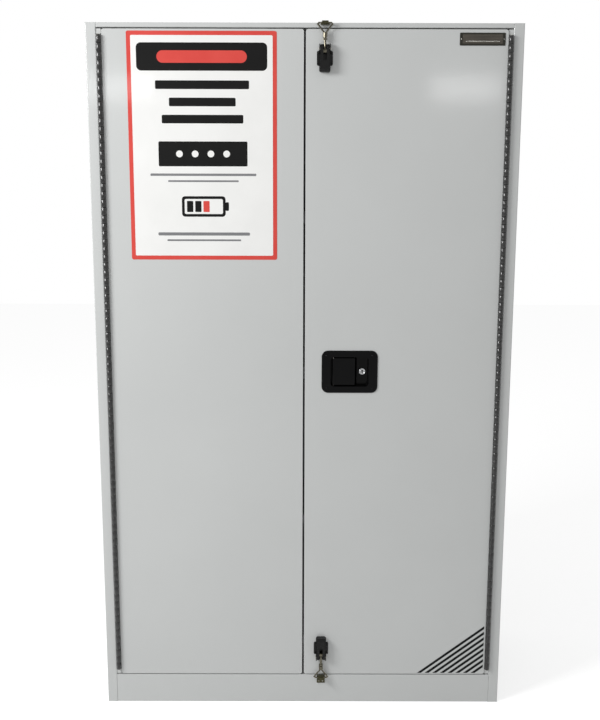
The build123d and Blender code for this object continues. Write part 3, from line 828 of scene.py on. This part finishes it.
@dataclass
class Nameplate:
    """The bare nameplate at the right door's top: a riveted frame, a brushed field and one fine line."""

    shop: Paintshop
    width: float = 114 * MM
    height: float = 31 * MM
    corner: float = 2.5 * MM
    from_edge: float = 7.5 * MM
    from_top: float = 8 * MM
    thickness: float = 1.2 * MM
    soft_edge: float = 0.4 * MM
    field_margin: Point = (14 * MM, 9 * MM)
    field_corner: float = 1.2 * MM
    field_rise: float = 0.5 * MM
    field_thickness: float = 0.25 * MM
    line_margin: float = 30 * MM
    line_height: float = 1.2 * MM
    line_corner: float = 0.5 * MM
    line_drop: float = 5 * MM
    line_thickness: float = 0.1 * MM
    rivet_inset: float = 3.6 * MM
    rivet_mm: tuple[Point, ...] = ((0, 0), (1.5, 0), (1.2, 0.6), (0, 0.9))

    def build(self) -> None:
        """Build the frame, the field, the line and the rivets, each on the one before."""
        low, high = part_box("door_skin_right")
        x = high.x - self.from_edge - self.width / 2
        z = high.z - self.from_top - self.height / 2
        outer = shift(rounded(self.width, self.height, self.corner), x, z)
        frame_plate = facing_plate("nameplate_frame", [outer], low.y, self.thickness, self.soft_edge)
        self.shop.dress(frame_plate, PLATE_DARK, "olive_keeper_steel", "right_door")
        field_size = (self.width - self.field_margin[0], self.height - self.field_margin[1])
        inner = shift(rounded(*field_size, self.field_corner), x, z + self.field_rise)
        field_y = low.y - self.thickness
        brushed = facing_plate("nameplate_field", [inner], field_y, self.field_thickness)
        self.shop.dress(brushed, PLATE_BRUSHED, "olive_keeper_steel", "right_door")
        bar = rounded(self.width - self.line_margin, self.line_height, self.line_corner)
        line = facing_plate(
            "nameplate_line",
            [shift(bar, x, z - self.line_drop)],
            field_y - self.field_thickness,
            self.line_thickness,
        )
        self.shop.dress(line, ZINC, "olive_keeper_steel", "right_door")
        reach = self.width / 2 - self.rivet_inset
        spots = [Vector((x + side * reach, field_y, z)) for side in (-1, 1)]
        rivets = turned("nameplate_rivets", in_mm(self.rivet_mm), spots, OUTWARD)
        self.shop.dress(rivets, ZINC, "zinc_steel", "right_door")


@dataclass
class CornerStripes:
    """Slanting stripes that fill the triangle in the right door's lower outer corner."""

    shop: Paintshop
    pitch: float = 21.5 * MM
    width: float = 11 * MM
    rise: float = 140 * MM
    run: float = 184 * MM
    from_edge: float = 4 * MM
    from_bottom: float = 3 * MM
    film: float = 0.2 * MM

    def build(self) -> None:
        """Build the stripes, each cut off by the triangle's bottom and right side."""
        low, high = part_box("door_skin_right")
        right, bottom = high.x - self.from_edge, low.z + self.from_bottom
        slope = self.rise / self.run
        outlines = []
        for number in range(int(self.run / self.pitch)):
            start = right - self.run + number * self.pitch
            end = start + self.width
            outlines.append(
                [
                    (start, bottom),
                    (end, bottom),
                    (right, bottom + (right - end) * slope),
                    (right, bottom + (right - start) * slope),
                ]
            )
        piece = facing_plate("corner_stripes", outlines, low.y, self.film)
        self.shop.dress(piece, BLACK_INK_AND_KEYWAY_SHADE, "cabinet_paint", "right_door")


@dataclass
class ContinuousHinge:
    """One door's full-height hinge: round knuckles, the leaves behind them and the pin's heads."""

    shop: Paintshop
    side: str
    knuckles: int = 84
    radius: float = 5.9 * MM
    gap: float = 0.5 * MM
    sheet: float = 1.5 * MM
    behind_barrel: float = 3.4 * MM
    soft_end: float = 0.5 * MM
    filler_gap: float = 1.2 * MM
    filler_setback: float = 2.2 * MM
    filler_depth: float = 36 * MM
    sides: int = 20

    def __post_init__(self) -> None:
        """Find the hinge axis and the knuckles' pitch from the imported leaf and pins."""
        self.low, self.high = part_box(f"frame_leaf_{self.side}")
        self.pin_low, self.pin_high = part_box(f"hinge_pins_{self.side}")
        self.x = (self.pin_low.x + self.pin_high.x) / 2
        self.y = (self.pin_low.y + self.pin_high.y) / 2
        self.pitch = (self.high.z - self.low.z) / self.knuckles

    def build(self) -> None:
        """Build the half on the frame, the half on the door, and the pin's two heads."""
        for first, part, body in ((0, "frame", "cabinet"), (1, "door", f"{self.side}_door")):
            node_name = f"{part}_leaf_{self.side}"
            starts = [self.low.z + self.pitch * n + self.gap / 2 for n in range(first, self.knuckles, 2)]
            half = self.barrel(f"{part}_hinge_half_{self.side}", starts)
            self.add_leaf(half, node_name, starts)
            # Painted shade: each half, knuckles and leaf, is coloured near black to stand for the shade in
            # the gap beside the door.
            self.shop.dress(half, HINGE_SHADE_BLACK, "cabinet_paint", body)
            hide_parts(node_name)
        self.pin_heads()
        self.end_fillers()

    def end_fillers(self) -> None:
        """Folded frame ends that close the gap beside the door above and below the hinge."""
        door_low, door_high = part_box(f"door_skin_{self.side}")
        away = math.copysign(1, self.x)
        door_edge = max(door_low.x, door_high.x, key=abs) + away * self.filler_gap
        frame_edge = max(self.low.x, self.high.x, key=abs)
        left, right = sorted((door_edge, frame_edge))
        outlines = [
            [(left, bottom), (right, bottom), (right, top), (left, top)]
            for bottom, top in (
                (door_low.z, self.pin_low.z - self.filler_gap),
                (self.pin_high.z + self.filler_gap, door_high.z),
            )
        ]
        front_y = door_low.y + self.filler_setback
        filler = facing_plate(
            f"hinge_end_fillers_{self.side}", outlines, front_y + self.filler_depth, self.filler_depth
        )
        self.shop.dress(filler, ENAMEL, "cabinet_paint", "cabinet")

    def barrel(self, name: str, starts: Sequence[float]) -> bpy.types.Object:
        """The round knuckles of one half, with softened ends.

        Args:
            name: The half's name.
            starts: Each knuckle's lower end.

        Returns:
            The knuckles in one piece.
        """
        length, soft, r = self.pitch - self.gap, self.soft_end, self.radius
        profile = [(0, 0), (r - soft, 0), (r, soft), (r, length - soft), (r - soft, length), (0, length)]
        spots = [Vector((self.x, self.y, z)) for z in starts]
        return turned(name, profile, spots, UP, self.sides)

    def add_leaf(self, half: bpy.types.Object, node_name: str, starts: Sequence[float]) -> None:
        """Join the flat leaf, and the web that leads to each of its knuckles, to one half.

        Args:
            half: The knuckles, which gain the leaf.
            node_name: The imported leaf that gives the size.
            starts: Each knuckle's lower end.
        """
        low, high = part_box(node_name)
        on_frame = node_name.startswith("frame")
        away = math.copysign(1, self.x)
        wall = max(low.x, high.x, key=abs) if on_frame else min(low.x, high.x, key=abs)
        sheet_x = wall + (-away if on_frame else away) * self.sheet / 2
        rear = self.y + self.behind_barrel
        boxes = [((self.y + rear) / 2, rear - self.y, z, self.pitch - self.gap) for z in starts]
        boxes.append(((rear + high.y) / 2, high.y - rear, low.z, high.z - low.z))
        bm = bmesh.new()
        bm.from_mesh(half.data)
        for middle_y, deep, bottom, tall in boxes:
            verts = bmesh.ops.create_cube(bm, size=1.0)["verts"]
            bmesh.ops.scale(bm, verts=verts, vec=(self.sheet, deep, tall))
            bmesh.ops.translate(bm, verts=verts, vec=(sheet_x, middle_y, bottom + tall / 2))
            for face in {face for vert in verts for face in vert.link_faces}:
                face.smooth = False
        bm.to_mesh(half.data)
        bm.free()

    def pin_heads(self) -> None:
        """The headed ends of the hinge pin, above and below the barrel."""
        proud = self.low.z - self.pin_low.z
        wide = (self.pin_high.x - self.pin_low.x) / 2
        dome = [(0, 0), (wide, 0), (wide, proud * 0.5), (wide * 0.8, proud * 0.9), (0, proud)]
        foot = turned(f"hinge_pin_foot_{self.side}", dome, [Vector((self.x, self.y, self.low.z))], -UP)
        crown = turned(f"hinge_pin_crown_{self.side}", dome, [Vector((self.x, self.y, self.high.z))], UP)
        for piece in (foot, crown):
            self.shop.dress(piece, ZINC, "zinc_steel", "cabinet")
        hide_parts(f"hinge_pins_{self.side}")


@dataclass
class ToggleLatch:
    """One toggle latch's small fittings: base screws, stud caps, keeper screws and a locknut."""

    shop: Paintshop
    place: str
    base_sheet: float = 2 * MM
    base_screw_radius: float = 2.2 * MM
    base_screw_reach: Point = (16.8 * MM, 12 * MM)
    keeper_sheet: float = 2.5 * MM
    keeper_screw_radius: float = 2.4 * MM
    keeper_screw_reach: float = 5.5 * MM
    keeper_screw_rise: float = 7 * MM
    cap_mm: tuple[Point, ...] = ((0, 0), (2.7, 0), (2.3, 0.6), (1.2, 1.0), (0, 1.15))
    nut_mm: tuple[Point, ...] = ((0, 0), (5.4, 0), (5.6, 0.5), (5.6, 4.1), (5.4, 4.6), (0, 4.6))
    nut_below_bar: float = 43.2 * MM

    def build(self) -> None:
        """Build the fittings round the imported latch."""
        low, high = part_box(f"latch_base_{self.place}")
        middle = (low + high) / 2
        reach_x, reach_z = self.base_screw_reach
        spots = [
            Vector((middle.x + sx * reach_x, high.y - self.base_sheet, middle.z + sz * reach_z))
            for sx in (-1, 1)
            for sz in (-1, 1)
        ]
        heads = screws(f"base_screws_{self.place}", self.base_screw_radius, spots, OUTWARD)
        self.shop.dress(heads, BLACK_SCREW, "black_latch_steel", "right_door")
        if self.place == "bottom":
            self.keeper_screws(middle.x)
        self.stud_caps()
        self.locknut()

    def keeper_screws(self, middle_x: float) -> None:
        """Two screws through the lower keeper's flange on the sill.

        Args:
            middle_x: The latch's middle.
        """
        low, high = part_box("keeper_bottom")
        seat_y, z = high.y - self.keeper_sheet, low.z + self.keeper_screw_rise
        spots = [Vector((middle_x + side * self.keeper_screw_reach, seat_y, z)) for side in (-1, 1)]
        heads = screws("keeper_screws", self.keeper_screw_radius, spots, OUTWARD)
        self.shop.dress(heads, ZINC, "zinc_steel", "cabinet")

    def stud_caps(self) -> None:
        """Domed rivet ends over the lever's pivot studs."""
        low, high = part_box(f"latch_studs_{self.place}")
        y, z = (low.y + high.y) / 2, (low.z + high.z) / 2
        for side, x, axis in (("left", low.x, Vector((-1, 0, 0))), ("right", high.x, Vector((1, 0, 0)))):
            cap = turned(f"stud_cap_{self.place}_{side}", in_mm(self.cap_mm), [Vector((x, y, z))], axis)
            self.shop.dress(cap, ZINC, "zinc_steel", "right_door")

    def locknut(self) -> None:
        """A hexagon locknut on the draw's rod, against the ferrule."""
        low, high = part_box(f"latch_draw_{self.place}")
        up = 1 if self.place == "top" else -1
        bar = high.z if up == 1 else low.z
        start = Vector(((low.x + high.x) / 2, (low.y + high.y) / 2, bar - up * self.nut_below_bar))
        nut = turned(
            f"locknut_{self.place}", in_mm(self.nut_mm), [start], up * UP, hexed=(1, 2, 3, 4), smooth=False
        )
        self.shop.dress(nut, DRAW_STEEL, "zinc_steel", f"draw_{self.place}")


@dataclass
class PaddleLock:
    """The flush lock's chrome ring, a black plate of painted shade for the keyway, and bezel rivets."""

    shop: Paintshop
    ring_section: float = 1.15 * MM
    ring_shares: tuple[Point, ...] = (
        (-2.4, 0),
        (0, 0),
        (0, 0.45),
        (-0.35, 0.85),
        (-1.2, 1.0),
        (-2.0, 0.7),
        (-2.4, 0.1),
    )
    ring_sides: int = 48
    keyway_mm: tuple[float, float, float] = (2.4, 8.4, 0.9)
    key_eye_mm: tuple[float, float, float] = (4.4, 4.4, 2.15)
    key_eye_rise: float = 1.4 * MM
    key_eye_steps: int = 8
    keyway_relief: float = 0.12 * MM
    rivet_inset: float = 13 * MM
    rivet_mm: tuple[Point, ...] = ((0, 0), (2.4, 0), (2.1, 0.5), (1.2, 0.85), (0, 1.0))

    def build(self) -> None:
        """Build the ring and the keyway's painted shade on the cylinder, then the bezel's rivets."""
        low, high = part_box("lock_barrel")
        middle = Vector(((low.x + high.x) / 2, low.y, (low.z + high.z) / 2))
        outer = (high.x - low.x) / 2
        profile = [
            (outer + inward * self.ring_section, height * self.ring_section)
            for inward, height in self.ring_shares
        ]
        ring = turned("cylinder_ring", profile, [middle], OUTWARD, self.ring_sides)
        self.shop.dress(ring, CHROME, "lock_chrome", "right_door")
        self.keyway_shade_plate()
        self.rivets()

    def keyway_shade_plate(self) -> None:
        """A black plate in the keyway's shape, with a round head, on the plug's face: painted shade where
        the slot would be.
        """
        low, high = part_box("key_plug")
        x, z = (low.x + high.x) / 2, (low.z + high.z) / 2
        slot_width, slot_height, slot_corner = (size * MM for size in self.keyway_mm)
        eye_width, eye_height, eye_corner = (size * MM for size in self.key_eye_mm)
        slot = shift(rounded(slot_width, slot_height, slot_corner), x, z)
        round_head = rounded(eye_width, eye_height, eye_corner, self.key_eye_steps)
        eye = shift(round_head, x, z + self.key_eye_rise)
        # Painted shade: the keyway is not cut; a thin black plate stands on the plug's face in its place.
        piece = facing_plate("keyway_shade_plate", [slot, eye], low.y, self.keyway_relief)
        self.shop.dress(piece, BLACK_INK_AND_KEYWAY_SHADE, "lock_chrome", "key_plug")

    def rivets(self) -> None:
        """Four small rivets near the bezel's corners."""
        low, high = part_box("lock_bowl")
        spots = [
            Vector((x, low.y, z))
            for x in (low.x + self.rivet_inset, high.x - self.rivet_inset)
            for z in (low.z + self.rivet_inset, high.z - self.rivet_inset)
        ]
        piece = turned("bezel_rivets", in_mm(self.rivet_mm), spots, OUTWARD)
        self.shop.dress(piece, LOCK_BLACK, "black_enamel", "right_door")


@dataclass
class BodyScrews:
    """The screws of the back panel and of the side liners."""

    shop: Paintshop
    panel_inset: float = 14 * MM
    panel_radius: float = 4.2 * MM
    panel_columns: int = 6
    panel_rows: int = 9
    liner_radius: float = 4 * MM
    liner_above_shelf: float = 14 * MM
    liner_shares: tuple[float, ...] = (0.12, 0.5, 0.88)

    def build(self) -> None:
        """Build both sets."""
        self.panel_screws()
        self.liner_screws()

    def spaced(self, low: float, high: float, count: int) -> list[float]:
        """Places spread evenly between two edges, an inset away from each.

        Args:
            low: The lower edge.
            high: The upper edge.
            count: How many places.

        Returns:
            The places.
        """
        inset = self.panel_inset
        return [low + inset + n * (high - low - 2 * inset) / (count - 1) for n in range(count)]

    def panel_screws(self) -> None:
        """A row of screws round the edge of the back panel."""
        low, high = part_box("back_panel")
        across = self.spaced(low.x, high.x, self.panel_columns)
        up = self.spaced(low.z, high.z, self.panel_rows)
        spots = [Vector((x, high.y, z)) for x in across for z in (up[0], up[-1])]
        spots += [Vector((x, high.y, z)) for x in (across[0], across[-1]) for z in up[1:-1]]
        heads = screws("back_panel_screws", self.panel_radius, spots, -OUTWARD)
        self.shop.dress(heads, ZINC, "zinc_steel", "cabinet")

    def liner_screws(self) -> None:
        """Three screws in each side liner above every shelf."""
        for side, wall, inward in (
            ("left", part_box("liner_left")[1].x, Vector((1, 0, 0))),
            ("right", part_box("liner_right")[0].x, Vector((-1, 0, 0))),
        ):
            spots = []
            for shelf in ("shelf_lower", "shelf_middle", "shelf_upper"):
                low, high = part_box(shelf)
                z = high.z + self.liner_above_shelf
                depth = high.y - low.y
                spots += [Vector((wall, low.y + share * depth, z)) for share in self.liner_shares]
            heads = screws(f"liner_screws_{side}", self.liner_radius, spots, inward)
            self.shop.dress(heads, ZINC, "zinc_steel", "cabinet")


# ---------------------------------------------------------------- studio
@dataclass(frozen=True)
class SoftLight:
    """One rectangular area light, in metres and watts."""

    name: str
    place: tuple[float, float, float]
    aim: tuple[float, float, float]
    size: Point
    power: float

    def build(self) -> None:
        """Add the light to the scene."""
        data = bpy.data.lights.new(self.name, "AREA")
        data.shape, data.size, data.size_y, data.energy = "RECTANGLE", *self.size, self.power
        lamp = bpy.data.objects.new(self.name, data)
        lamp.location = self.place
        lamp.rotation_euler = (Vector(self.aim) - Vector(self.place)).to_track_quat("-Z", "Y").to_euler()
        bpy.context.scene.collection.objects.link(lamp)


# The key from the left, and two small lamps high in front that show as soft patches in the enamel.
LIGHTS = (
    SoftLight("key_light", (-2.3, -1.7, 2.3), (0, -0.23, 0.9), (1.1, 1.1), 66),
    SoftLight("left_reflection", (-1.15, -4.0, 2.03), (-0.9, -0.23, 1.7), (0.43, 0.145), 1.5),
    SoftLight("right_reflection", (1.03, -4.0, 2.03), (0.7, -0.23, 1.7), (0.43, 0.145), 1.5),
)


@dataclass
class Studio:
    """The plain floor, the backdrop colour, the soft lights and the camera."""

    backdrop: float = 1.0
    surround: float = 0.52
    floor_half: float = 9.0
    floor_glow: float = 0.55
    floor_grey: float = 0.8
    lens_mm: float = 48.5
    clip_end: float = 60
    eye: tuple[float, float, float] = (-0.0133, -2.7498, 1.4337)
    tilt_down: float = 0.1788
    turn: float = -0.0012
    roll: float = 0.0025

    def build(self) -> None:
        """Build the floor, the world, the lights and the camera."""
        bpy.context.scene.view_settings.view_transform = "Standard"
        self.floor()
        self.world()
        for light in LIGHTS:
            light.build()
        self.camera()

    def floor(self) -> None:
        """A pale floor that looks white to the camera but keeps the cabinet's shadow."""
        bm = bmesh.new()
        bmesh.ops.create_grid(bm, x_segments=2, y_segments=2, size=self.floor_half)
        made = finish_mesh("studio_floor", bm)
        material = bpy.data.materials.new("pale_seamless_floor")
        material.use_nodes = True
        tree = material.node_tree
        tree.nodes.clear()
        path = node(tree, "ShaderNodeLightPath")
        glow = node(
            tree, "ShaderNodeEmission", {"Color": (1, 1, 1, 1), "Strength": self.floor_glow}
        ).outputs["Emission"]
        grey = (self.floor_grey, self.floor_grey, self.floor_grey, 1)
        matt = node(tree, "ShaderNodeBsdfDiffuse", {"Color": grey}).outputs["BSDF"]
        both = node(tree, "ShaderNodeAddShader", links={0: glow, 1: matt}).outputs["Shader"]
        choice = node(
            tree, "ShaderNodeMixShader", links={0: path.outputs["Is Camera Ray"], 1: matt, 2: both}
        )
        node(tree, "ShaderNodeOutputMaterial", links={"Surface": choice.outputs["Shader"]})
        made.data.materials.append(material)

    def world(self) -> None:
        """White to the camera and through clear pieces, and darker as a light."""
        world = bpy.data.worlds.new("soft_white_room")
        bpy.context.scene.world = world
        world.use_nodes = True
        tree = world.node_tree
        tree.nodes.clear()
        path = node(tree, "ShaderNodeLightPath")
        seen = node(
            tree,
            "ShaderNodeMath",
            {"operation": "MAXIMUM"},
            {0: path.outputs["Is Camera Ray"], 1: path.outputs["Is Transmission Ray"]},
        )
        strength = node(
            tree,
            "ShaderNodeMapRange",
            {"To Min": self.surround, "To Max": self.backdrop},
            {"Value": seen.outputs["Value"]},
        )
        sky = node(
            tree, "ShaderNodeBackground", {"Color": (1, 1, 1, 1)}, {"Strength": strength.outputs["Result"]}
        )
        node(tree, "ShaderNodeOutputWorld", links={"Surface": sky.outputs["Background"]})

    def camera(self) -> None:
        """The eye-level camera in front, tilted slightly down."""
        data = bpy.data.cameras.new("front_camera")
        data.lens, data.clip_end = self.lens_mm, self.clip_end
        eye = bpy.data.objects.new("front_camera", data)
        eye.location = self.eye
        look = Euler((math.pi / 2 - self.tilt_down, 0, self.turn)).to_matrix()
        eye.rotation_euler = (look @ Euler((0, 0, self.roll)).to_matrix()).to_euler()
        bpy.context.scene.collection.objects.link(eye)
        bpy.context.scene.camera = eye


def main() -> None:
    """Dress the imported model, build each sub-assembly, then the studio."""
    shop = Paintshop()
    packed = CadPieces(shop)
    packed.dress()
    packed.soften()
    for side in ("left", "right"):
        ContinuousHinge(shop, side).build()
    for place in ("top", "bottom"):
        ToggleLatch(shop, place).build()
    PaddleLock(shop).build()
    DoorPanel(shop).build()
    Nameplate(shop).build()
    CornerStripes(shop).build()
    BodyScrews(shop).build()
    Studio().build()


if __name__ == "__main__":
    main()
